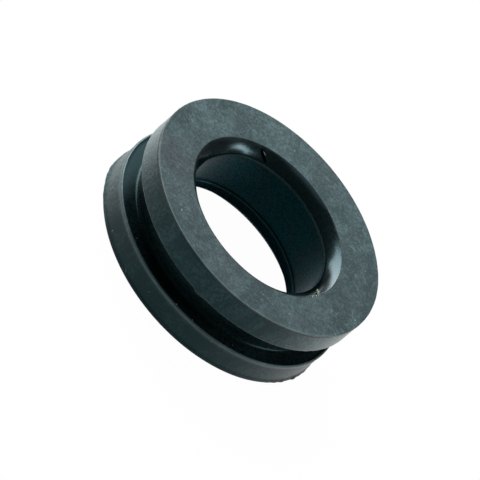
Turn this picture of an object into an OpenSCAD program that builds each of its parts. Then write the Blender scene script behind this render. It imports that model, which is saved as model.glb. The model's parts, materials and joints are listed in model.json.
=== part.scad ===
// Moulded rubber seal ring: two flanges with a deep groove between them, and a bore with a
// bowed lead-in, a narrow sealing throat, a relief behind it, and a fine ridge and a chamfer
// at the back end.
// The ring stands on its back flange, +Z up, with the origin at the centre of that face.

/* [Flanges] */
// Outside diameter across the moulding fin of the front flange
flange_d = 40; // [36:0.5:50]
// Thickness of the front flange
front_t = 4.3; // [3.5:0.1:6]
// Thickness of the back flange
back_t = 4; // [3:0.1:6]
// How far the trimmed edge of the front face stands out from the flange's side
face_fin = 0.1; // [0.05:0.05:0.2]
// How far the moulding fin stands out round the foot of the back flange
foot_fin = 0.35; // [0.1:0.05:0.5]

/* [Groove] */
// Width of the groove, which takes the edge of the cover
groove_w = 4.2; // [3:0.1:7]
// Diameter of the groove's floor, which fits the hole in the cover
groove_d = 34; // [32:0.1:35]

/* [Bore] */
// Diameter of the mouth, where the lead-in leaves the front face
mouth_d = 26.9; // [26:0.1:28]
// Diameter of the throat, the narrowest part of the bore
throat_d = 23.5; // [22:0.1:24]
// Depth of the throat below the front face
throat_depth = 1.6; // [1.4:0.1:2.2]
// Height of the throat's straight land
throat_land = 0.3; // [0.2:0.1:1]
// Diameter of the relief, straight behind the throat
relief_d = 25.2; // [24.6:0.1:26]
// Diameter of the bore at its back end, to which the relief narrows
bore_d = 24.8; // [24.4:0.1:25.6]
// Height of the fine ridge above the back face
ridge_h = 2.8; // [2.4:0.1:3.2]
// Diameter of the chamfer where it meets the back face
chamfer_d = 27.8; // [26.4:0.2:29]
// Height of the chamfer
chamfer_h = 1.3; // [0.8:0.1:1.8]

/* [Hidden] */

// Radii and height of the ring
flange_r = flange_d / 2;
side_r = flange_r - face_fin;
groove_r = groove_d / 2;
mouth_r = mouth_d / 2;
throat_r = throat_d / 2;
relief_r = relief_d / 2;
bore_r = bore_d / 2;
chamfer_r = chamfer_d / 2;
height = back_t + groove_w + front_t;

// Rounding of the moulded edges and corners
face_edge = 0.08;
rim_edge = 0.25;
soft_edge = 0.4;
floor_fillet = 0.7;
mouth_edge = 0.25;
// Slope of the lead-in below the face at its mouth, and how far it bows into the bore
mouth_slope = 34;
lead_in_bow = 0.12;
// Height over which the throat's underside steps back to the relief
underside_h = 0.3;
// How far the fine ridge stands into the bore
ridge = 0.17;
// Height of the fins
face_fin_h = 0.2;
foot_fin_h = 0.2;
// Straight pieces in each arc of the section
steps = 8;

// Points of an arc about centre c with radius r, from angle a0 to angle a1
function arc(c, r, a0, a1) =
    [for (i = [0:steps]) let (a = a0 + (a1 - a0) * i / steps) c + r * [cos(a), sin(a)]];

// Points after p of a shallow bow from p to q that rises by h to the right of its chord
function bow(p, q, h) =
    let (d = q - p, n = [d[1], -d[0]] / norm(d))
    [for (i = [1:steps]) let (t = i / steps) p + d * t + n * (4 * h * t * (1 - t))];

// Outer side of the section, from the foot of the back flange up to the front face
function back_flange_side() = concat(
    [[side_r + foot_fin, 0], [side_r + foot_fin, foot_fin_h / 2], [side_r, foot_fin_h + foot_fin]],
    arc([side_r - rim_edge, back_t - rim_edge], rim_edge, 0, 90)
);
function groove_side() = concat(
    arc([groove_r + floor_fillet, back_t + floor_fillet], floor_fillet, 270, 180),
    arc([groove_r + floor_fillet, back_t + groove_w - floor_fillet], floor_fillet, 180, 90)
);
function front_flange_side() = concat(
    arc([side_r - soft_edge, back_t + groove_w + soft_edge], soft_edge, 270, 360),
    [[side_r, height - face_fin_h - face_fin], [flange_r, height - face_fin_h]],
    arc([flange_r - face_edge, height - face_edge], face_edge, 0, 90)
);

// Bore side of the section, from the front face down to the back face
function lead_in() =
    let (edge = arc([mouth_r, height - mouth_edge], mouth_edge, 90, 90 + mouth_slope))
    concat(edge, bow(edge[steps], [throat_r, height - throat_depth], lead_in_bow));
function throat_and_relief() = [
    [throat_r, height - throat_depth - throat_land],
    [relief_r, height - throat_depth - throat_land - underside_h]
];
function back_end() = [
    [bore_r, ridge_h + ridge],
    [bore_r - ridge, ridge_h],
    [bore_r, ridge_h - ridge],
    [bore_r, chamfer_h],
    [chamfer_r, 0]
];

module seal_ring() {
    color([0.13, 0.15, 0.16])
        rotate_extrude($fn = 180)
            polygon(concat(
                back_flange_side(), groove_side(), front_flange_side(),
                lead_in(), throat_and_relief(), back_end()
            ));
}

seal_ring();
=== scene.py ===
"""A moulded black rubber seal ring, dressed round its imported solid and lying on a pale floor."""
import json
import math
from functools import cached_property

import bmesh
import bpy
import numpy as np
from mathutils import Matrix, Vector


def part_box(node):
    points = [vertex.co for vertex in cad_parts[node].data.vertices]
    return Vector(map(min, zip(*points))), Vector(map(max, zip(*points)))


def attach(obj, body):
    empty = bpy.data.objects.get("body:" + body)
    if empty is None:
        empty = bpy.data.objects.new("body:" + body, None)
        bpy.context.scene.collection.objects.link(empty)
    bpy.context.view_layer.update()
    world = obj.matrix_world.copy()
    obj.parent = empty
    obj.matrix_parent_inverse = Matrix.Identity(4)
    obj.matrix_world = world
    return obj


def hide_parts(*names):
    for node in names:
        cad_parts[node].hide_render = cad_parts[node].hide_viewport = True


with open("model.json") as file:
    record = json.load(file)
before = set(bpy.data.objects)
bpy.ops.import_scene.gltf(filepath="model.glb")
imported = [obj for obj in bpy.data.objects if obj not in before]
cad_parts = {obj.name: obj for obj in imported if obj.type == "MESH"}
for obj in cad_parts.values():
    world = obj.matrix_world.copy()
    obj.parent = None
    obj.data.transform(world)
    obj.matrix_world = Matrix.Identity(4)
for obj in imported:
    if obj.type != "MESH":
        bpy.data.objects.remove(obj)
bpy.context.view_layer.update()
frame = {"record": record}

MM = 0.001
rng = np.random.default_rng(40)

# ---------------------------------------------------------------- sizes, from the frame and given here
mounts = {mount["name"]: mount for mount in frame["record"]["mounts"]}
ring_low, ring_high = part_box("seal_ring")

HEIGHT = ring_high.z
FOOT_R = ring_high.x
THROAT_R = mounts["throat"]["dims"]["r_mm"] * MM
THROAT_LAND = mounts["throat"]["dims"]["length_mm"] * MM
THROAT_Z = mounts["throat"]["pos_m"][2]
THROAT_HIGH = THROAT_Z + THROAT_LAND / 2
THROAT_LOW = THROAT_Z - THROAT_LAND / 2
GROOVE_R = mounts["cover_groove"]["dims"]["r_mm"] * MM
GROOVE_W = mounts["cover_groove"]["dims"]["length_mm"] * MM
GROOVE_Z = mounts["cover_groove"]["pos_m"][2]
GROOVE_LOW = GROOVE_Z - GROOVE_W / 2
GROOVE_HIGH = GROOVE_Z + GROOVE_W / 2

FOOT_FIN = 0.35 * MM        # how far the moulding fin stands out at the foot
FOOT_FIN_ROOT = 0.4 * MM    # how far in from its edge the fin's underside is drawn finely
FOOT_FIN_EDGE = 0.1 * MM    # height of the fin's thin edge
FOOT_FIN_H = 0.5 * MM       # height at which the fin's slope meets the flange's side
SIDE_R = FOOT_R - FOOT_FIN  # radius of both flanges' sides
FACE_FIN = 0.1 * MM         # how far the trimmed edge of the face stands out
FACE_FIN_H = 0.2 * MM
FACE_EDGE = 0.06 * MM
MOUTH_R = 13.45 * MM
MOUTH_EDGE = 0.25 * MM
MOUTH_SLOPE = 34            # degrees below the face at which the lead-in leaves the mouth
LEAD_IN_BOW = 0.12 * MM
UNDERSIDE_H = 0.3 * MM      # height over which the throat's underside steps back
RELIEF_R = 12.6 * MM
BORE_R = 12.4 * MM
RIDGE = 0.17 * MM
RIDGE_H = 2.8 * MM
CHAMFER_R = 13.9 * MM
CHAMFER_H = 1.3 * MM
SOFT_EDGE = 0.4 * MM
FLOOR_FILLET = 0.7 * MM
CORNER_FILLET = 0.2 * MM    # where the groove's floor meets the front flange
RIM_EDGE = 0.2 * MM
BEAD = 0.08 * MM            # the fine moulding line along the back flange's rim
SEAM = 0.05 * MM            # the short step between two runs of the section
FACE_DROP = 0.03 * MM       # the skin lies this far inside the solid's front face,
FOOT_LIFT = FACE_DROP / 3   # and this far inside its back face
TOP_GAP = 0.003 * MM        # crumbs stay this far below the solid's front face

# How this soft ring strays from a round one.
BACK_SHIFT = 0.16 * MM      # how far the back flange has settled off centre, towards -X
BORE_SHIFT = (-0.12 * MM, -0.20 * MM)   # how far the bore was moulded off centre
FLANGE_WANDER = 0.01 * MM
MOUTH_WANDER = 0.03 * MM
LIP_STRETCH = 0.35 * MM     # how far the throat's lip is stretched at one place,
LIP_PRESS = 0.28 * MM       # and pressed in beside it
# Where round the ring: a bearing from +X and the half width of the stretch, in degrees.
FOOT_FIN_STANDS = (193, 30)
FOOT_FIN_RAGGED = (350, 26)
LIP_STRETCHED = (201, 16)
LIP_PRESSED = (163, 26)
# Where on the section: the radii or heights between which a change comes in, from none of it to all.
FOOT_HEIGHTS = (0.7 * MM, 0.15 * MM)
FACE_FIN_HEIGHTS = (HEIGHT - 0.5 * MM, HEIGHT - 0.3 * MM)
MOUTH_HEIGHTS = (HEIGHT - 3.0 * MM, HEIGHT - 0.5 * MM)
LIP_HEIGHTS = (HEIGHT - 3.0 * MM, HEIGHT - 2.1 * MM)
BACK_HEIGHTS = (GROOVE_HIGH, GROOVE_LOW)
FLANGE_RADII = (16 * MM, 19 * MM)
BACK_RADII = (14 * MM, 17 * MM)
BORE_RADII = (17 * MM, 14.2 * MM)
MOUTH_RADII = (14.2 * MM, 13.3 * MM)
LIP_RADII = (13.3 * MM, 11.9 * MM)

SPOKES = 640                # sections round the ring


# ---------------------------------------------------------------- the ring's section
def arc(centre, radius, start, end, steps):
    """Points of an arc in the section's plane, angles in degrees."""
    angles = np.radians(np.linspace(start, end, steps + 1))
    return np.column_stack([centre[0] + radius * np.cos(angles), centre[1] + radius * np.sin(angles)])


def line(start, end, steps):
    """Points of a straight run, without its last one."""
    t = np.linspace(0, 1, steps, endpoint=False)[:, None]
    return np.array(start) * (1 - t) + np.array(end) * t


def bow(start, end, rise, steps):
    """Points of a shallow bow that rises to the right of its chord."""
    t = np.linspace(0, 1, steps + 1)[:, None]
    chord = np.array(end) - np.array(start)
    right = np.array([chord[1], -chord[0]]) / np.linalg.norm(chord)
    return np.array(start) + chord * t + right * 4 * rise * t * (1 - t)


def back_flange_side():
    """From the foot up to the back flange's rim, with its fine moulding line."""
    rim_start = GROOVE_LOW - 2 * RIM_EDGE
    bead_start = GROOVE_LOW - 1.3 * RIM_EDGE
    rim_centre = (SIDE_R - RIM_EDGE, GROOVE_LOW - RIM_EDGE + BEAD)
    return np.vstack([
        line((CHAMFER_R + FOOT_LIFT, FOOT_LIFT), (FOOT_R - FOOT_FIN_ROOT, FOOT_LIFT), 7),
        line((FOOT_R - FOOT_FIN_ROOT, FOOT_LIFT), (FOOT_R, FOOT_LIFT), 3),
        line((FOOT_R, FOOT_LIFT), (FOOT_R, FOOT_FIN_EDGE), 2),
        line((FOOT_R, FOOT_FIN_EDGE), (SIDE_R, FOOT_FIN_H), 4),
        line((SIDE_R, FOOT_FIN_H), (SIDE_R, rim_start), 8),
        line((SIDE_R, rim_start), (SIDE_R + BEAD, bead_start), 3),
        arc(rim_centre, RIM_EDGE + BEAD, 0, 90, 8)[:-1],
    ])


def groove():
    """In over the back flange, up the groove's floor and out under the front flange."""
    rim = SIDE_R - RIM_EDGE
    floor_r = GROOVE_R + FLOOR_FILLET
    corner_r = GROOVE_R + CORNER_FILLET
    return np.vstack([
        line((rim, GROOVE_LOW + 2 * BEAD), (rim - RIM_EDGE, GROOVE_LOW), 3),
        line((rim - RIM_EDGE, GROOVE_LOW), (floor_r, GROOVE_LOW), 5),
        arc((floor_r, GROOVE_LOW + FLOOR_FILLET), FLOOR_FILLET, 270, 180, 8),
        arc((corner_r, GROOVE_HIGH - CORNER_FILLET), CORNER_FILLET, 180, 90, 6),
        line((corner_r + SEAM, GROOVE_HIGH), (SIDE_R - SOFT_EDGE, GROOVE_HIGH), 3),
    ])


def front_flange_side():
    """Round the front flange's soft lower edge and up to the trimmed fin of its face."""
    fin_top = HEIGHT - FACE_DROP - FACE_FIN_H
    face_r = SIDE_R + FACE_FIN
    return np.vstack([
        arc((SIDE_R - SOFT_EDGE, GROOVE_HIGH + SOFT_EDGE), SOFT_EDGE, 270, 360, 8),
        line((SIDE_R, GROOVE_HIGH + 1.1 * SOFT_EDGE), (SIDE_R, fin_top - FACE_FIN), 8),
        line((SIDE_R, fin_top - FACE_FIN), (face_r, fin_top), 3),
        line((face_r, fin_top), (face_r, HEIGHT - FACE_DROP - FACE_EDGE), 2),
    ])


def front_face():
    """From the front flange's edge in to the mouth."""
    top = HEIGHT - FACE_DROP
    face_r = SIDE_R + FACE_FIN
    return np.vstack([
        arc((face_r - FACE_EDGE, top - FACE_EDGE), FACE_EDGE, 0, 90, 4),
        line((face_r - 4 * FACE_EDGE, top), (MOUTH_R + FACE_EDGE, top), 14),
    ])


def lead_in():
    """Over the mouth's rounded edge and down the bowed lead-in to the throat."""
    edge = arc((MOUTH_R, HEIGHT - FACE_DROP - MOUTH_EDGE), MOUTH_EDGE, 90, 90 + MOUTH_SLOPE, 4)
    return np.vstack([edge, bow(edge[-1], (THROAT_R, THROAT_HIGH), LEAD_IN_BOW, 12)[1:]])


def bore_wall():
    """Under the throat and down the relief to the fine ridge."""
    relief_top = THROAT_LOW - UNDERSIDE_H
    return np.vstack([
        line((THROAT_R, THROAT_HIGH - SEAM), (THROAT_R, THROAT_LOW), 2),
        line((THROAT_R, THROAT_LOW), (RELIEF_R, relief_top), 3),
        line((RELIEF_R, relief_top), (BORE_R, RIDGE_H + RIDGE), 10),
        line((BORE_R, RIDGE_H + RIDGE), (BORE_R - RIDGE, RIDGE_H), 3),
    ])


def bore_end():
    """In under the ridge, down to the chamfer and out along it to the foot."""
    ridge_foot = RIDGE_H - 0.3 * RIDGE
    return np.vstack([
        line((BORE_R - RIDGE, RIDGE_H), (BORE_R, ridge_foot), 2),
        line((BORE_R, ridge_foot), (BORE_R, CHAMFER_H), 3),
        line((BORE_R, CHAMFER_H), (CHAMFER_R, FOOT_LIFT), 4),
    ])


# ---------------------------------------------------------------- the ring's skin
def ripple(angles, slowest, fastest, roughness=1.0):
    """A wave that closes on itself round the ring, between about -1 and 1."""
    wave = np.zeros_like(angles)
    for beats in range(slowest, fastest + 1):
        size = (slowest / beats) ** roughness
        wave += size * rng.normal() * np.cos(beats * angles + rng.uniform(0, 2 * math.pi))
    return wave / np.abs(wave).max()


def smooth_step(low, high, value):
    """0 at low and 1 at high, smooth in between; low may be the larger."""
    t = np.clip((value - low) / (high - low), 0, 1)
    return t * t * (3 - 2 * t)


def hump(angles, bearing, half_width):
    """1 at a bearing, fading to 0 at half_width degrees on both sides of it."""
    away = np.abs((np.degrees(angles) - bearing + 180) % 360 - 180)
    return smooth_step(half_width, 0, away)


def tear_fins(angles, radius, height):
    """Tears the foot's fin off nearly all round and trims the face's fin unevenly, in place. How much of
    each is kept is a share that changes round the ring."""
    standing = np.maximum(hump(angles, *FOOT_FIN_STANDS), 0.8 * hump(angles, *FOOT_FIN_RAGGED))
    tears = ripple(angles, 18, 90, 0.6)
    foot_keep = 0.22 + 0.08 * ripple(angles, 3, 12) + standing * (0.62 + 0.34 * tears)
    foot_keep = np.clip(foot_keep, 0.05, 1.0)
    face_keep = 0.5 + 0.35 * ripple(angles, 2, 12) + 0.15 * ripple(angles, 20, 90, 0.5)
    face_keep = np.clip(face_keep, 0.05, 0.98)

    proud = np.maximum(radius - SIDE_R, 0)
    radius -= proud * (1 - foot_keep[:, None]) * smooth_step(*FOOT_HEIGHTS, height)
    radius -= proud * (1 - face_keep[:, None]) * smooth_step(*FACE_FIN_HEIGHTS, height)


def soften(angles, radius, height):
    """Lets the flanges and the mouth wander a little and bends the throat's lip, in place."""
    flanges = smooth_step(*FLANGE_RADII, radius)
    radius -= flanges * (FLANGE_WANDER * (1 + ripple(angles, 2, 7)))[:, None]
    mouth = smooth_step(*MOUTH_RADII, radius) * smooth_step(*MOUTH_HEIGHTS, height)
    radius += mouth * (MOUTH_WANDER * (1 + ripple(angles, 3, 24, 0.7)))[:, None]
    lip = smooth_step(*LIP_RADII, radius) * smooth_step(*LIP_HEIGHTS, height)
    bent = LIP_STRETCH * hump(angles, *LIP_STRETCHED) - LIP_PRESS * hump(angles, *LIP_PRESSED)
    radius += lip * bent[:, None]


def set_off_centre(angles, radius, height):
    """X and Y of each point, with the back flange and the bore moved off the axis."""
    x = radius * np.cos(angles)[:, None]
    y = radius * np.sin(angles)[:, None]
    settled = smooth_step(*BACK_HEIGHTS, height) * smooth_step(*BACK_RADII, radius)
    x = np.maximum(x - BACK_SHIFT * settled, ring_low.x + FACE_DROP)
    inside = smooth_step(*BORE_RADII, radius)
    return x + BORE_SHIFT[0] * inside, y + BORE_SHIFT[1] * inside


def swept_faces(count):
    """The four corners of each face between neighbouring sections of count points."""
    spoke = np.arange(SPOKES)[:, None]
    step = np.arange(count)[None, :]
    following = (spoke + 1) % SPOKES
    above = (step + 1) % count
    corners = [spoke * count + step, following * count + step,
               following * count + above, spoke * count + above]
    return np.stack(corners, axis=-1).reshape(-1, 4)


def moulded_ring():
    """The section swept round the axis, each run of it with its own finish."""
    side = moulded_side()
    runs = [
        (back_flange_side(), side),
        (groove(), groove_skin()),
        (front_flange_side(), side),
        (front_face(), bloomed_face()),
        (lead_in(), smooth_lead_in()),
        (bore_wall(), bore_skin()),
        (bore_end(), bore_end_skin()),
    ]
    section = np.vstack([points for points, _ in runs])
    angles = np.arange(SPOKES) * 2 * math.pi / SPOKES
    radius = np.tile(section[:, 0], (SPOKES, 1))
    height = np.tile(section[:, 1], (SPOKES, 1))
    tear_fins(angles, radius, height)
    soften(angles, radius, height)
    x, y = set_off_centre(angles, radius, height)

    mesh = bpy.data.meshes.new("ring_skin")
    faces = swept_faces(len(section))
    mesh.from_pydata(np.stack([x, y, height], axis=-1).reshape(-1, 3).tolist(), [], faces.tolist())
    mesh.polygons.foreach_set("use_smooth", [True] * len(faces))
    run_of_step = np.repeat(np.arange(len(runs)), [len(points) for points, _ in runs])
    mesh.polygons.foreach_set("material_index", np.tile(run_of_step, SPOKES).tolist())
    for _, finish in runs:
        mesh.materials.append(finish)
    mesh.update()
    ring = bpy.data.objects.new("ring_skin", mesh)
    bpy.context.collection.objects.link(ring)
    return ring


# ---------------------------------------------------------------- finishes
# Colours are linear red, green and blue.
FACE_BLACK = (0.018, 0.040, 0.045)
BLOOM = (0.072, 0.124, 0.135)
PURPLE_BLOOM = (0.052, 0.062, 0.074)
THICK_BLOOM = (0.096, 0.160, 0.172)
THIN_BLOOM = (0.028, 0.052, 0.058)
BLOOM_WISP = (0.125, 0.195, 0.205)
BLOOM_GRAIN = (0.110, 0.165, 0.172)
# painted highlight for the face's outer rim
FACE_RIM_HIGHLIGHT = (0.170, 0.235, 0.240)

SIDE_BLACK = (0.006, 0.017, 0.019)
SIDE_DUST = (0.026, 0.052, 0.056)
SIDE_LOW_SHADE = (0.001, 0.004, 0.005)
SIDE_END_SHEEN = (0.135, 0.210, 0.218)
SIDE_GRAIN = (0.002, 0.006, 0.008)
# painted highlight for the back flange's rim
BACK_RIM_HIGHLIGHT = (0.130, 0.185, 0.200)
# painted shade under the face's fin
UNDER_FIN_SHADE = (0.0, 0.002, 0.003)

GROOVE_BLACK = (0.0020, 0.0100, 0.0110)
GROOVE_GRAIN = (0.0100, 0.0190, 0.0200)
GROOVE_END_SHEEN = (0.060, 0.110, 0.120)

LEAD_IN_BLACK = (0.0006, 0.0044, 0.0052)
LEAD_IN_GRAIN = (0.0040, 0.0092, 0.0100)
# the lead-in's bloom, also used for a painted glow
LEAD_IN_BLOOM_AND_GLOW = (0.045, 0.055, 0.062)
MATT_BLACK = (0.0, 0.0015, 0.002)

# partly painted light: lighter than the rubber elsewhere, for the shaded bore
BORE_GREEN_PAINTED_LIGHT = (0.0080, 0.0700, 0.0880)
BORE_BLUE_PAINTED_LIGHT = (0.0240, 0.0640, 0.0860)
BORE_GRAIN = (0.0010, 0.0160, 0.0220)
RIDGE_HIGHLIGHT = (0.060, 0.110, 0.115)
CREASE_SHADE = (0.0004, 0.0060, 0.0070)
BORE_END_BLACK = (0.0008, 0.0100, 0.0104)

# The darkest and the lightest shade of what lies on the rubber.
DUST = ((0.20, 0.25, 0.25), (0.42, 0.48, 0.48))
TORN_RUBBER = ((0.22, 0.25, 0.21), (0.60, 0.62, 0.54))
FIBRE = ((0.16, 0.21, 0.22), (0.28, 0.34, 0.35))

FLOOR_LIT = (0.80, 0.80, 0.80)      # what the floor gives back to the ring,
FLOOR_SEEN = (0.99, 0.99, 0.99)     # and what is seen of it
FLOOR_GLOW = 0.98                   # share of the seen floor that is plain white; the rest holds the shadow

# Sizes of the rubber's grain.
GRAIN = 0.42 * MM
FINE_GRAIN = 0.18 * MM
BORE_GRAIN_SIZE = 0.27 * MM
CRUMB_GRAIN = 0.10 * MM

# Soft spots on the ring: a place (x, y) and a reach in millimetres, and a strength.
PURPLE_SPOTS = [((-15.0, -8.0), 5.5, 1.0)]
THICK_SPOTS = [((-7.5, 16.5), 7.0, 1.0), ((9.5, 13.5), 5.5, 0.5), ((-16.5, 4.0), 4.5, 1.0)]
THIN_SPOTS = [((17.0, 3.5), 5.0, 1.0), ((-1.0, -17.0), 4.0, 0.4)]
# bloom with a painted glow of the highlight
MOUTH_BLOOM_AND_GLOW = [((-11.0, 7.5), 5.0, 1.0)]
DULL_LEAD_IN = [((12.6, -1.5), 8.0, 1.0)]

# Where a finish changes: the two places between which a change comes in, from none of it to all, or the
# four places of a band, where it starts, has come in, starts to fade and is gone.
FAR_SIDE = (-16 * MM, 18 * MM)              # along Y
NEAR_SIDE = (-4 * MM, -10 * MM)
LEFT_END = (-13.5 * MM, -19.5 * MM)         # along X
RIGHT_END = (12 * MM, 19 * MM)
GROOVE_LEFT_END = (-14.2 * MM, -18 * MM)
FACE_RIM = (SIDE_R - 0.30 * MM, SIDE_R - 0.02 * MM)     # out from the axis
RIM_BAND = (-0.34 * MM, -0.16 * MM, 0.02 * MM, 0.35 * MM)           # up from the groove's lower side
UNDER_FIN_BAND = (-0.75 * MM, -0.42 * MM, -0.32 * MM, -0.24 * MM)   # up from the front face
RUBBED_MOUTH = (-0.32 * MM, -0.08 * MM)
BLOOM_AND_GLOW_DEPTHS = (-0.60 * MM, -0.15 * MM)
DULL_BELOW = (-0.45 * MM, -1.00 * MM)
RIDGE_HIGHLIGHT_LINE = (0.16 * MM, 0.08 * MM)         # up from the bore's ridge
CREASE_BAND = (0.14 * MM, 0.22 * MM, 0.26 * MM, 0.50 * MM)
BORE_END_BELOW = (-0.05 * MM, -0.6 * MM)

# The nick across the lead-in: where its line crosses x = 0, its slope, half its width and its extent.
NICK_DEPTH = 4.685 * MM
NICK_SLOPE = 0.537
NICK_HALF = 0.20 * MM
NICK_X = (-8.2 * MM, -7.8 * MM, -6.4 * MM, -6.0 * MM)
NICK_Y = (9.0 * MM, 9.4 * MM)

MIX_FACTOR, MIX_A, MIX_B, MIX_COLOUR = 0, 6, 7, 2    # a Mix node's sockets for colours


class Value:
    """A socket of a finish. Arithmetic on it adds Math nodes."""

    def __init__(self, finish, socket):
        self.finish = finish
        self.socket = socket

    def math(self, operation, first, second, clamp=False):
        settings = {"operation": operation, "use_clamp": clamp}
        return self.finish.node("ShaderNodeMath", settings, {0: first, 1: second})

    def __add__(self, other):
        return self.math("ADD", self, other)

    def __radd__(self, other):
        return self.math("ADD", other, self)

    def __sub__(self, other):
        return self.math("SUBTRACT", self, other)

    def __rsub__(self, other):
        return self.math("SUBTRACT", other, self)

    def __mul__(self, other):
        return self.math("MULTIPLY", self, other)

    def __rmul__(self, other):
        return self.math("MULTIPLY", other, self)

    def __pow__(self, other):
        return self.math("POWER", self, other)

    def __rpow__(self, other):
        return self.math("POWER", other, self)

    def clamped(self):
        """The value held between 0 and 1."""
        return self.math("ADD", self, 0.0, clamp=True)


class Finish:
    """A material. All its nodes come from the node method."""

    def __init__(self, name):
        self.material = bpy.data.materials.new(name)
        self.material.use_nodes = True
        self.tree = self.material.node_tree
        self.tree.nodes.clear()

    def node(self, kind, settings=None, inputs=None, output=0):
        """Adds a node: its settings come first, then the values or links of its sockets."""
        made = self.tree.nodes.new(kind)
        for key, value in (settings or {}).items():
            setattr(made, key, value)
        for key, value in (inputs or {}).items():
            self.feed(made.inputs[key], value)
        return Value(self, made.outputs[output]) if made.outputs else None

    def feed(self, socket, value):
        """Links a value to a socket, or sets the socket to a number or a colour."""
        if isinstance(value, Value):
            self.tree.links.new(value.socket, socket)
        elif socket.type == "RGBA":
            socket.default_value = (*value, 1.0)
        else:
            socket.default_value = value

    def shader(self, **sockets):
        """A Principled shader; an underscore in a socket's name stands for a space."""
        inputs = {name.replace("_", " "): value for name, value in sockets.items()}
        return self.node("ShaderNodeBsdfPrincipled", None, inputs)

    def mixed(self, factor, first, second):
        """Mixes two shaders."""
        return self.node("ShaderNodeMixShader", None, {0: factor, 1: first, 2: second})

    def cover(self, surface):
        """Puts a surface on the material, and gives the material."""
        self.node("ShaderNodeOutputMaterial", None, {"Surface": surface})
        return self.material

    @cached_property
    def place(self):
        """Where a point is on the object, in metres."""
        return self.node("ShaderNodeTexCoord", output="Object")

    def along(self, axis):
        """One of the three numbers of the place."""
        return self.node("ShaderNodeSeparateXYZ", None, {"Vector": self.place}, output=axis)

    @cached_property
    def x(self):
        return self.along("X")

    @cached_property
    def y(self):
        return self.along("Y")

    @cached_property
    def z(self):
        return self.along("Z")

    @cached_property
    def radius(self):
        """Distance from the ring's axis."""
        return (self.x * self.x + self.y * self.y) ** 0.5

    def clouds(self, size, detail, roughness, distortion=0.0, stretch=None, turn=0.0):
        """Soft noise between 0 and 1, with patches of the given size in metres. Stretch scales each axis,
        which draws the patches out, and turn is about Z."""
        place = self.place
        if stretch:
            lie = {"Vector": place, "Rotation": (0, 0, turn), "Scale": stretch}
            place = self.node("ShaderNodeMapping", None, lie)
        inputs = {"Vector": place, "Scale": 1 / size, "Detail": detail,
                  "Roughness": roughness, "Distortion": distortion}
        return self.node("ShaderNodeTexNoise", None, inputs)

    def between(self, value, none, full):
        """0 at none and 1 at full, smooth in between; none may be the larger."""
        inputs = {"Value": value, "From Min": none, "From Max": full}
        return self.node("ShaderNodeMapRange", {"interpolation_type": "SMOOTHSTEP"}, inputs)

    def band(self, value, start, risen, falling, end):
        """1 from risen to falling, fading to 0 at start and at end."""
        return self.between(value, start, risen) * self.between(value, end, falling)

    def spots(self, places):
        """The sum of soft spots, each of which fades to 0 at its reach."""
        total = 0.0
        for (x, y), reach, strength in places:
            away = ((self.x - x * MM) ** 2 + (self.y - y * MM) ** 2) ** 0.5
            total = total + strength * self.between(away, reach * MM, 0.25 * reach * MM)
        return total

    def blend(self, factor, first, second):
        """Mixes two colours."""
        settings = {"data_type": "RGBA", "clamp_factor": True}
        inputs = {MIX_FACTOR: factor, MIX_A: first, MIX_B: second}
        return self.node("ShaderNodeMix", settings, inputs, output=MIX_COLOUR)

    def bump(self, height, distance, strength):
        """A bump for the Normal, raised by a height between 0 and 1 over a distance in metres."""
        inputs = {"Height": height, "Distance": distance, "Strength": strength}
        return self.node("ShaderNodeBump", None, inputs)


def bloomed_face():
    """The front face: a grey bloom in cloudy patches, drawn out in places, with a fine grain over it."""
    finish = Finish("bloomed_face")
    broad = finish.clouds(8 * MM, detail=2, roughness=0.5)
    patches = finish.clouds(2.6 * MM, detail=5, roughness=0.65, distortion=0.8,
                            stretch=(1.0, 0.5, 1.0), turn=0.7)
    wisps = finish.clouds(1.0 * MM, detail=4, roughness=0.65, distortion=1.8,
                          stretch=(0.55, 1.1, 1.0), turn=-0.5)
    grain = finish.clouds(GRAIN, detail=2, roughness=0.7)
    fine = finish.clouds(FINE_GRAIN, detail=1, roughness=0.6)

    # Painted sheen: the bloom is made lighter towards +Y, the far side, where the back softbox's gloss would
    # show.
    far_side_sheen = finish.between(finish.y, *FAR_SIDE)
    bloomed = 0.56 * finish.between(patches, 0.40, 0.60) + 0.30 * finish.between(broad, 0.42, 0.58)
    colour = finish.blend(bloomed + 0.14 * far_side_sheen, FACE_BLACK, BLOOM)
    purple = 0.7 * finish.spots(PURPLE_SPOTS) + 0.35 * finish.between(broad, 0.54, 0.70)
    colour = finish.blend(purple.clamped(), colour, PURPLE_BLOOM)
    thick = finish.spots(THICK_SPOTS) * (0.35 + 0.65 * finish.between(patches, 0.42, 0.58))
    colour = finish.blend((0.70 * thick).clamped(), colour, THICK_BLOOM)
    colour = finish.blend((0.45 * finish.spots(THIN_SPOTS)).clamped(), colour, THIN_BLOOM)
    colour = finish.blend(0.55 * finish.between(wisps, 0.52, 0.66), colour, BLOOM_WISP)
    colour = finish.blend(0.62 * finish.between(grain, 0.42, 0.58), colour, FACE_BLACK)
    colour = finish.blend(0.32 * finish.between(fine, 0.52, 0.64), colour, BLOOM_GRAIN)
    # Painted highlight: a light line along the face's outer rim, strongest on the near side (-Y), where the
    # sharp edge catches the light.
    edge = finish.between(finish.radius, *FACE_RIM) * (0.10 + 0.90 * finish.between(finish.y, *NEAR_SIDE))
    colour = finish.blend(0.45 * edge, colour, FACE_RIM_HIGHLIGHT)

    roughness = 0.5 + 0.2 * (grain - 0.5)
    normal = finish.bump(0.65 * grain + 0.35 * fine, distance=0.020 * MM, strength=0.8)
    return finish.cover(finish.shader(Base_Color=colour, Roughness=roughness, IOR=1.3, Normal=normal))


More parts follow.
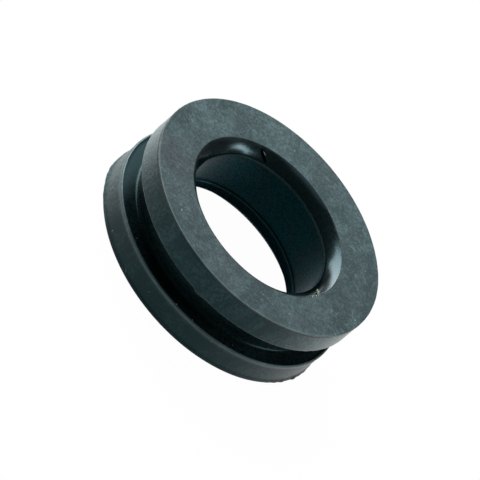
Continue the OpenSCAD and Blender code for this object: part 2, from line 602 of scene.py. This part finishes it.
def moulded_side():
    """Both flanges' sides: dark moulded rubber with a greenish sheen and dust, painted shade low down and
    under the face's fin, a painted reflection towards both ends, and a painted highlight along the back
    flange's rim.
    """
    finish = Finish("moulded_side")
    patches = finish.clouds(2.6 * MM, detail=4, roughness=0.6, distortion=0.5, stretch=(1.0, 1.0, 0.5))
    grain = finish.clouds(GRAIN, detail=2, roughness=0.7)
    colour = finish.blend(finish.between(patches, 0.40, 0.60), SIDE_BLACK, SIDE_DUST)

    # Painted shade: the sides are darkened from the groove down to the foot, near the floor.
    low_down_shade = finish.between(finish.z, GROOVE_HIGH, GROOVE_LOW)
    colour = finish.blend(0.45 * low_down_shade, colour, SIDE_LOW_SHADE)
    # Painted reflection: the sides are made lighter towards the left and right ends, where they are seen
    # edge-on and would mirror the white surroundings; less so low down, a little patchy.
    left_end = finish.between(finish.x, *LEFT_END)
    right_end = finish.between(finish.x, *RIGHT_END)
    end_sheen = ((1 - 0.38 * low_down_shade) * left_end + (0.55 - 0.48 * low_down_shade) * right_end).clamped()
    painted_end_sheen = end_sheen * (0.85 + 0.15 * finish.between(patches, 0.35, 0.65))
    colour = finish.blend(painted_end_sheen, colour, SIDE_END_SHEEN)
    colour = finish.blend(finish.between(grain, 0.44, 0.56) * (0.80 - 0.55 * end_sheen), colour, SIDE_GRAIN)

    # Painted highlight: a light line along the back flange's rim and its fine moulding line, where the edge
    # catches the light.
    rim = finish.band(finish.z - GROOVE_LOW, *RIM_BAND)
    rim_highlight = rim * (0.75 + 0.25 * finish.between(patches, 0.38, 0.60))
    colour = finish.blend(0.8 * rim_highlight, colour, BACK_RIM_HIGHLIGHT)
    # Painted shade: a dark band just under the face's trimmed fin.
    fin_shade = finish.band(finish.z - HEIGHT, *UNDER_FIN_BAND)
    colour = finish.blend(0.8 * fin_shade, colour, UNDER_FIN_SHADE)

    roughness = 0.28 + 0.14 * (grain - 0.5) + 0.25 * fin_shade + 0.10 * low_down_shade
    normal = finish.bump(grain, distance=0.030 * MM, strength=0.8)
    return finish.cover(finish.shader(
        Base_Color=colour, Roughness=roughness, IOR=1.42, Specular_Tint=(0.26, 0.60, 0.66), Normal=normal))


def groove_skin():
    """The groove: never rubbed, so nearly black, with a painted reflection towards its left end."""
    finish = Finish("groove_skin")
    grain = finish.clouds(GRAIN, detail=2, roughness=0.7)
    colour = finish.blend(finish.between(grain, 0.42, 0.58), GROOVE_BLACK, GROOVE_GRAIN)
    # Painted reflection: the groove is made lighter towards its left end, where it is seen edge-on.
    colour = finish.blend(0.8 * finish.between(finish.x, *GROOVE_LEFT_END), colour, GROOVE_END_SHEEN)
    roughness = 0.28 + 0.10 * (grain - 0.5)
    normal = finish.bump(grain, distance=0.010 * MM, strength=0.5)
    return finish.cover(finish.shader(
        Base_Color=colour, Roughness=roughness, IOR=1.2, Specular_Tint=(0.3, 0.9, 1.0), Normal=normal))


def smooth_lead_in():
    """The lead-in: smooth and dark, with the face's bloom over its upper edge and a painted glow beside it
    at one place, a nick drawn as painted shade, and a dull patch.
    """
    finish = Finish("smooth_lead_in")
    grain = finish.clouds(GRAIN, detail=2, roughness=0.7)
    patches = finish.clouds(1.6 * MM, detail=3, roughness=0.6)
    colour = finish.blend(finish.between(grain, 0.42, 0.58), LEAD_IN_BLACK, LEAD_IN_GRAIN)

    from_face = finish.z - HEIGHT
    rubbed = finish.between(from_face, *RUBBED_MOUTH) * finish.between(patches, 0.30, 0.70)
    # Partly real, partly painted light: the bloom over the mouth's edge, and at one place a painted glow
    # that stands for the highlight's soft spread.
    bloom_and_glow = finish.spots(MOUTH_BLOOM_AND_GLOW) * finish.between(from_face, *BLOOM_AND_GLOW_DEPTHS)
    colour = finish.blend((0.35 * rubbed + 0.22 * bloom_and_glow).clamped(), colour, LEAD_IN_BLOOM_AND_GLOW)
    roughness = 0.21 + 0.08 * (grain - 0.5) + 0.06 * rubbed
    normal = finish.bump(grain, distance=0.010 * MM, strength=0.5)
    smooth = finish.shader(
        Base_Color=colour, Roughness=roughness, IOR=1.42, Specular_Tint=(0.50, 0.88, 1.0), Normal=normal)

    # The nick: real damage, but with no cut in the mesh; its darkness is painted shade, a near-black matt
    # surface in place of the shadow inside the cut.
    off_line = (from_face + NICK_DEPTH + NICK_SLOPE * finish.x) ** 2
    nick_shade = finish.between(off_line, NICK_HALF ** 2, (0.4 * NICK_HALF) ** 2)
    nick_shade = nick_shade * finish.band(finish.x, *NICK_X) * finish.between(finish.y, *NICK_Y)
    dull = finish.spots(DULL_LEAD_IN) * finish.between(from_face, *DULL_BELOW)
    matt = finish.shader(Base_Color=MATT_BLACK, IOR=1.02)
    return finish.cover(finish.mixed((nick_shade + 0.8 * dull).clamped(), smooth, matt))


def bore_grain(finish):
    """The bore's grain, and its colour: a greenish cast, lighter than the rubber elsewhere, partly the
    rubber's own cast and partly painted light for the shaded bore.
    """
    grain = finish.clouds(BORE_GRAIN_SIZE, detail=2, roughness=0.7)
    patches = finish.clouds(2.2 * MM, detail=3, roughness=0.6)
    # Partly painted light: the bore is coloured lighter than the rubber elsewhere, standing in for the light
    # its wall doesn't get.
    cast_and_painted_light = finish.blend(finish.between(patches, 0.38, 0.62), BORE_GREEN_PAINTED_LIGHT, BORE_BLUE_PAINTED_LIGHT)
    return grain, finish.blend(0.75 * finish.between(grain, 0.41, 0.59), cast_and_painted_light, BORE_GRAIN)


def bore_skin():
    """The bore's wall: moulded glossy, with a painted highlight on the fine ridge and painted shade in the
    crease above it.
    """
    finish = Finish("bore_skin")
    grain, colour = bore_grain(finish)
    above_ridge = finish.z - RIDGE_H
    # Painted highlight: a light line on the ridge's upper slope.
    colour = finish.blend(0.9 * finish.between(above_ridge, *RIDGE_HIGHLIGHT_LINE), colour, RIDGE_HIGHLIGHT)
    # Painted shade: a dark band in the crease just above the ridge.
    colour = finish.blend(0.85 * finish.band(above_ridge, *CREASE_BAND), colour, CREASE_SHADE)
    roughness = 0.15 + 0.06 * (grain - 0.5)
    normal = finish.bump(grain, distance=0.008 * MM, strength=0.4)
    return finish.cover(finish.shader(
        Base_Color=colour, Roughness=roughness, IOR=1.12, Specular_Tint=(0.1, 1.0, 1.0), Normal=normal))


def bore_end_skin():
    """The bore below its ridge and the chamfer: dull and dark."""
    finish = Finish("bore_end_skin")
    grain, colour = bore_grain(finish)
    colour = finish.blend(0.40 * finish.between(finish.z - RIDGE_H, *BORE_END_BELOW), colour, BORE_END_BLACK)
    normal = finish.bump(grain, distance=0.008 * MM, strength=0.4)
    return finish.cover(finish.shader(Base_Color=colour, Roughness=0.4, IOR=1.02, Normal=normal))


def pale_crumb(name, shades):
    """Dry, light crumbs and fibres, between two shades."""
    finish = Finish(name)
    grain = finish.clouds(CRUMB_GRAIN, detail=3, roughness=0.7)
    colour = finish.blend(finish.between(grain, 0.35, 0.65), *shades)
    normal = finish.bump(grain, distance=0.020 * MM, strength=0.8)
    return finish.cover(finish.shader(Base_Color=colour, Roughness=0.85, IOR=1.3, Normal=normal))


def pale_floor():
    """A white floor that gives the camera and the gloss a plain white, and keeps a faint shadow."""
    finish = Finish("pale_floor")
    camera, gloss, glass = [finish.node("ShaderNodeLightPath", output=f"Is {kind} Ray")
                            for kind in ("Camera", "Glossy", "Transmission")]
    shown = (camera + gloss + glass).clamped()
    lit = finish.shader(Base_Color=finish.blend(shown, FLOOR_LIT, FLOOR_SEEN), Roughness=0.9, IOR=1.2)
    white = finish.node("ShaderNodeEmission", None, {"Strength": 1.0})
    return finish.cover(finish.mixed(FLOOR_GLOW * shown, lit, white))


# ---------------------------------------------------------------- crumbs, dust and marks on the rubber
# Pale specks: (x, y, width) on the front face, in millimetres.
FACE_SPECKS = [
    (-4.8, 15.7, 0.22), (7.8, -13.7, 0.18), (-5.2, -13.7, 0.18), (-3.6, -18.1, 0.16),
    (17.2, -5.1, 0.16), (17.2, -6.7, 0.14), (18.6, -6.4, 0.24), (12.2, -11.9, 0.16),
    (-8.7, -15.5, 0.30), (19.0, -0.4, 0.22), (-16.8, 6.2, 0.16), (14.8, 9.5, 0.14),
]
# (bearing in degrees, depth below the front face, width) on the flanges' sides.
SIDE_SPECKS = [
    (209.6, 10.6, 0.26), (230.5, 11.5, 0.24), (226.0, 12.1, 0.16),
    (238.0, 8.9, 0.16), (294.5, 8.9, 0.20), (301.7, 3.6, 0.12),
    (313.3, 3.4, 0.12), (262.0, 10.4, 0.14), (218.0, 2.6, 0.14),
]
# (bearing, radius, width) on the ledge of the back flange in the groove.
LEDGE_SPECKS = [
    (238.8, 18.9, 0.18), (272.6, 19.4, 0.34), (282.0, 19.3, 0.22), (304.0, 18.6, 0.18), (246.0, 18.4, 0.12),
]
LEDGE_DEPTH = 8.5
BORE_SPECK = (90.0, 9.75)   # bearing and depth
# Torn flash along the mouth: bearing, then depth below the face, distance in from the mouth's edge,
# width and rise.
FLASH_CRUMBS = [
    (336.0, 0.15, 0.02, 0.30, 0.08),
    (338.4, 0.15, 0.04, 0.34, 0.10),
    (340.6, 0.16, 0.06, 0.40, 0.13),
    (342.0, 0.16, 0.10, 0.30, 0.13),
    (344.6, 0.15, 0.06, 0.34, 0.12),
    (346.6, 0.16, 0.08, 0.36, 0.13),
    (348.2, 0.20, 0.20, 0.30, 0.15),
    (348.0, 0.24, 0.38, 0.24, 0.16),
    (349.4, 0.26, 0.50, 0.34, 0.18),
    (349.2, 0.28, 0.72, 0.24, 0.18),
    (350.2, 0.28, 0.86, 0.26, 0.16),
    (350.8, 0.20, 0.12, 0.30, 0.13),
    (352.6, 0.15, 0.04, 0.24, 0.10),
    (355.0, 0.15, 0.02, 0.20, 0.08),
    (331.0, 0.15, 0.02, 0.24, 0.07),
    (325.0, 0.15, 0.02, 0.22, 0.06),
]
FIBRE_SIDES = 6
UP = Vector((0, 0, 1))


def on_face(x, y):
    """A place on the front face, x and y in millimetres, and the way out of the rubber there."""
    return Vector((x * MM, y * MM, HEIGHT - FACE_DROP)), UP


def on_wall(bearing, depth, radius=SIDE_R):
    """A place on a round wall at a bearing in degrees and a depth in millimetres below the face."""
    out = Vector((math.cos(math.radians(bearing)), math.sin(math.radians(bearing)), 0))
    place = out * radius + Vector((0, 0, HEIGHT - depth * MM))
    if place.z < GROOVE_LOW and radius > GROOVE_R:
        place.x -= BACK_SHIFT
    return place, out


def on_lead_in(bearing, depth, radius):
    """A place on the lead-in, which lies off centre with the bore, and the way out of the rubber there."""
    place, out = on_wall(bearing, depth, radius)
    return place + Vector((*BORE_SHIFT, 0)), (UP - out).normalized()


def crumb(mesh, place, out, width, rise):
    """An irregular grain half sunk in the surface: width across and rise above it, in millimetres."""
    made = bmesh.ops.create_icosphere(mesh, subdivisions=2, radius=1.0)
    turn = out.to_track_quat("Z", "Y").to_matrix()
    long_way = rng.uniform(1.0, 1.5)
    spin = Matrix.Rotation(rng.uniform(0, 2 * math.pi), 3, "Z")
    for vertex in made["verts"]:
        lump = 0.72 + 0.5 * rng.random()
        across = Vector((vertex.co.x * long_way, vertex.co.y / long_way, 0)) * lump * width / 2 * MM
        across.rotate(spin)
        along = Vector((0, 0, vertex.co.z * rise * min(lump, 1.0) * MM))
        vertex.co = place + turn @ (across + along)
        vertex.co.z = min(vertex.co.z, HEIGHT - TOP_GAP)


def fibre(mesh, path, thickness):
    """A fine thread along a path of places and ways out, pressed half in; thickness in millimetres."""
    rings = []
    for index, (place, out) in enumerate(path):
        ahead = path[min(index + 1, len(path) - 1)][0] - path[max(index - 1, 0)][0]
        across = ahead.cross(out).normalized()
        half = thickness / 2 * MM * math.sin(math.pi * (index + 0.5) / len(path)) ** 0.5
        ring = []
        for side in range(FIBRE_SIDES):
            turn = 2 * math.pi * side / FIBRE_SIDES
            point = place + across * half * math.cos(turn) + out * half * 0.8 * math.sin(turn)
            ring.append(mesh.verts.new(point))
        rings.append(ring)
    for ring, following in zip(rings, rings[1:]):
        for side in range(FIBRE_SIDES):
            beside = (side + 1) % FIBRE_SIDES
            mesh.faces.new((ring[side], ring[beside], following[beside], following[side]))
    mesh.faces.new(reversed(rings[0]))
    mesh.faces.new(rings[-1])


def finished_piece(name, mesh, material):
    """Turns the gathered crumbs or fibres into one smooth-shaded object that rides on the ring."""
    bmesh.ops.recalc_face_normals(mesh, faces=mesh.faces)
    data = bpy.data.meshes.new(name)
    mesh.to_mesh(data)
    mesh.free()
    data.polygons.foreach_set("use_smooth", [True] * len(data.polygons))
    data.materials.append(material)
    piece = bpy.data.objects.new(name, data)
    bpy.context.collection.objects.link(piece)
    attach(piece, "root")
    return piece


def dust_specks():
    """Pale specks on the face, the sides, the groove's ledge, and one on the bore's wall."""
    mesh = bmesh.new()
    for x, y, width in FACE_SPECKS:
        crumb(mesh, *on_face(x, y), width, rise=0.025)
    for bearing, depth, width in SIDE_SPECKS:
        crumb(mesh, *on_wall(bearing, depth), width, rise=0.04)
    for bearing, radius, width in LEDGE_SPECKS:
        place, _ = on_wall(bearing, LEDGE_DEPTH, radius * MM)
        crumb(mesh, place, UP, width, rise=0.07)
    place, out = on_wall(*BORE_SPECK, BORE_R)
    crumb(mesh, place, -out, width=0.18, rise=0.08)
    return finished_piece("dust_specks", mesh, pale_crumb("pale_dust", DUST))


def torn_flash():
    """Crumbs of torn flash along the mouth's edge."""
    mesh = bmesh.new()
    for bearing, depth, inward, width, rise in FLASH_CRUMBS:
        crumb(mesh, *on_lead_in(bearing, depth, MOUTH_R - inward * MM), width, rise)
    return finished_piece("torn_flash", mesh, pale_crumb("torn_rubber", TORN_RUBBER))


def evenly(count):
    """Evenly spaced numbers from 0 to 1."""
    return np.linspace(0, 1, count)


def stray_fibres():
    """Fine threads and scuffs on the face and on the flanges' sides, and a sliver in the lead-in."""
    turns = np.linspace(-0.6, 3.4, 24)
    loop = [on_face(5.0 + 1.0 * math.cos(turn), -16.6 + 0.42 * math.sin(turn)) for turn in turns]
    scratch = [on_face(17.6 + 1.5 * t, 0.9 - 1.7 * t - 0.25 * math.sin(3 * t)) for t in evenly(14)]
    border = [on_face(-17.0 + 3.0 * t, -6.5 + 2.0 * t + 0.3 * math.sin(4 * t)) for t in evenly(18)]
    streak = [on_face(12.2 + 0.9 * t, -12.2 + 0.3 * t) for t in evenly(8)]
    smear = [on_wall(248.2 + 1.9 * t, 11.75 + 0.45 * t) for t in evenly(12)]
    scuff = [on_wall(272.5 + 6.0 * t, 4.15 + 0.06 * math.sin(5 * t)) for t in evenly(16)]
    sliver = [on_lead_in(125.9 - 2.9 * t, 0.45 + 0.29 * t, (12.80 - 0.29 * t) * MM) for t in evenly(10)]
    mesh = bmesh.new()
    for path, thickness in [(loop, 0.055), (scratch, 0.05), (border, 0.04), (streak, 0.06),
                            (smear, 0.11), (scuff, 0.07), (sliver, 0.16)]:
        fibre(mesh, path, thickness)
    return finished_piece("stray_fibres", mesh, pale_crumb("pale_fibre", FIBRE))


# ---------------------------------------------------------------- the stage
FLOOR_HALF = 3.0            # half the floor's side, in metres
LAMP_DISTANCE = 0.8
WORLD_GLOW = 0.11

# Where the camera stands: turned from the ring's axis, and rolled about its own line of sight.
CAMERA_TILT = 34.491        # degrees above the ring's plane
CAMERA_ROLL = 49.593        # degrees
CAMERA_DISTANCE = 2.0
FACE_CENTRE_RIGHT = 4.158 * MM   # the front face's centre, right of and above the middle of the picture
FACE_CENTRE_UP = 3.285 * MM
PICTURE_WIDTH = 67.90 * MM      # what the picture spans at that distance


def lay_floor():
    far = FLOOR_HALF
    mesh = bpy.data.meshes.new("floor")
    mesh.from_pydata([(-far, -far, 0), (far, -far, 0), (far, far, 0), (-far, far, 0)], [], [(0, 1, 2, 3)])
    floor = bpy.data.objects.new("floor", mesh)
    bpy.context.collection.objects.link(floor)
    mesh.materials.append(pale_floor())


def hang_lamp(name, bearing, rise, width, tall, glow):
    """A softbox seen from the ring at a bearing from +X and a rise, both in degrees, as are its width and
    height. Its glow is what a mirror at the ring would show of it, where 1 is white."""
    lamp = bpy.data.lights.new(name, "AREA")
    lamp.shape = "RECTANGLE"
    lamp.size = 2 * LAMP_DISTANCE * math.tan(math.radians(width) / 2)
    lamp.size_y = 2 * LAMP_DISTANCE * math.tan(math.radians(tall) / 2)
    lamp.energy = glow * math.pi * lamp.size * lamp.size_y
    stand = bpy.data.objects.new(name, lamp)
    bearing, rise = math.radians(bearing), math.radians(rise)
    level = math.cos(rise)
    towards = Vector((level * math.cos(bearing), level * math.sin(bearing), math.sin(rise)))
    stand.location = Vector((0, 0, HEIGHT)) + towards * LAMP_DISTANCE
    stand.rotation_euler = towards.to_track_quat("Z", "Y").to_euler()
    stand.visible_camera = False
    bpy.context.collection.objects.link(stand)


def light_studio():
    world = bpy.data.worlds.new("studio")
    bpy.context.scene.world = world
    world.use_nodes = True
    background = world.node_tree.nodes["Background"]
    background.inputs["Color"].default_value = (1.0, 1.0, 1.0, 1.0)
    background.inputs["Strength"].default_value = WORLD_GLOW
    hang_lamp("left_softbox", bearing=136, rise=32, width=44, tall=31, glow=9.8)
    hang_lamp("right_softbox", bearing=13, rise=29, width=27, tall=11, glow=11.5)
    hang_lamp("back_softbox", bearing=90, rise=50, width=50, tall=30, glow=1.2)
    hang_lamp("top_softbox", bearing=270, rise=88, width=30, tall=30, glow=0.9)


def set_camera():
    tilt, roll = math.radians(CAMERA_TILT), math.radians(CAMERA_ROLL)
    back = Vector((0, -math.cos(tilt), math.sin(tilt)))
    level_up = Vector((0, math.sin(tilt), math.cos(tilt)))
    level_right = Vector((1, 0, 0))
    right = math.cos(roll) * level_right + math.sin(roll) * level_up
    up = math.cos(roll) * level_up - math.sin(roll) * level_right
    aim = Vector((0, 0, HEIGHT)) - FACE_CENTRE_RIGHT * right - FACE_CENTRE_UP * up

    lens = bpy.data.cameras.new("camera")
    lens.sensor_width = 36.0
    lens.lens = lens.sensor_width * CAMERA_DISTANCE / PICTURE_WIDTH
    lens.clip_start, lens.clip_end = 0.05, 10.0
    camera = bpy.data.objects.new("camera", lens)
    camera.matrix_world = Matrix((right, up, back)).transposed().to_4x4()
    camera.location = aim + CAMERA_DISTANCE * back
    bpy.context.collection.objects.link(camera)
    bpy.context.scene.camera = camera


ring = moulded_ring()
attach(ring, "root")
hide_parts("seal_ring")
dust_specks()
torn_flash()
stray_fibres()

lay_floor()
light_studio()
set_camera()
bpy.context.scene.view_settings.view_transform = "Standard"
